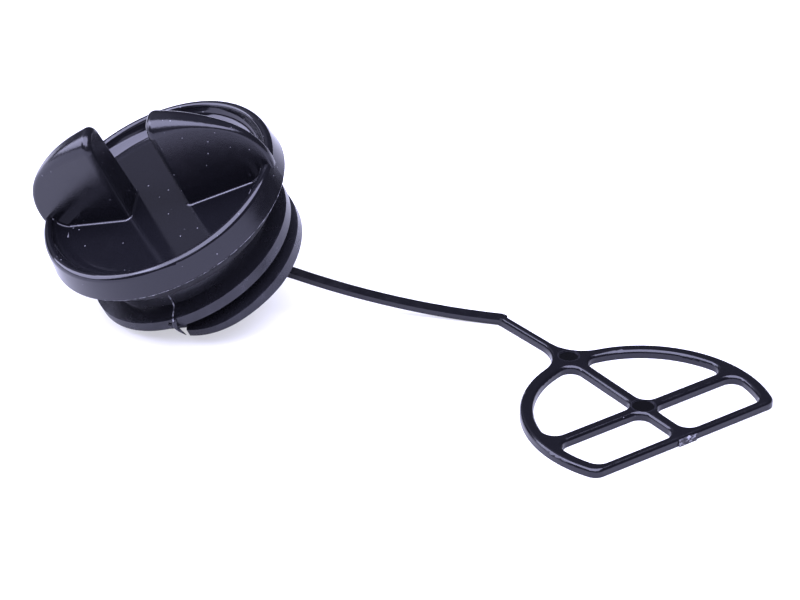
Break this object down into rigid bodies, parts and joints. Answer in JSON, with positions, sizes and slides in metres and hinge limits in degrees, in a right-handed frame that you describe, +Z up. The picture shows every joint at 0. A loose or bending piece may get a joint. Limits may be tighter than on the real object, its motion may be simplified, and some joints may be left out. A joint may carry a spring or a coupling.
{
  "type": "screw-in fuel tank cap with tether",
  "caption": "Black screw-in fuel tank cap with finger lugs, coarse thread and seal ring, on a moulded strap that ends in a half-moon retainer.",
  "frame": {"origin": "centre of the covered floor area, at floor height, with the cap leaning on two corners of its mouth and the retainer flat", "axes": "+X along the retainer's spine from the neck to the straight base, +Z up from the floor"},
  "size_m": [0.0982, 0.0786, 0.0364],
  "materials": {
    "cap_plastic": "glossy black moulded plastic, satin on the thread",
    "seal_rubber": "matte black rubber",
    "tether_plastic": "satin black flexible plastic"
  },
  "bodies": {
    "tether": {"tether": "tether_plastic"},
    "cap": {"cap_body": "cap_plastic", "seal_ring": "seal_rubber"}
  },
  "joints": [
    {"name": "cap_swivel", "type": "hinge", "parent": "tether", "child": "cap", "pos_m": [-0.02909, -0.02003, 0.01784], "axis": [-0.0515, -0.4385, 0.8973], "continuous": true}
  ]
}
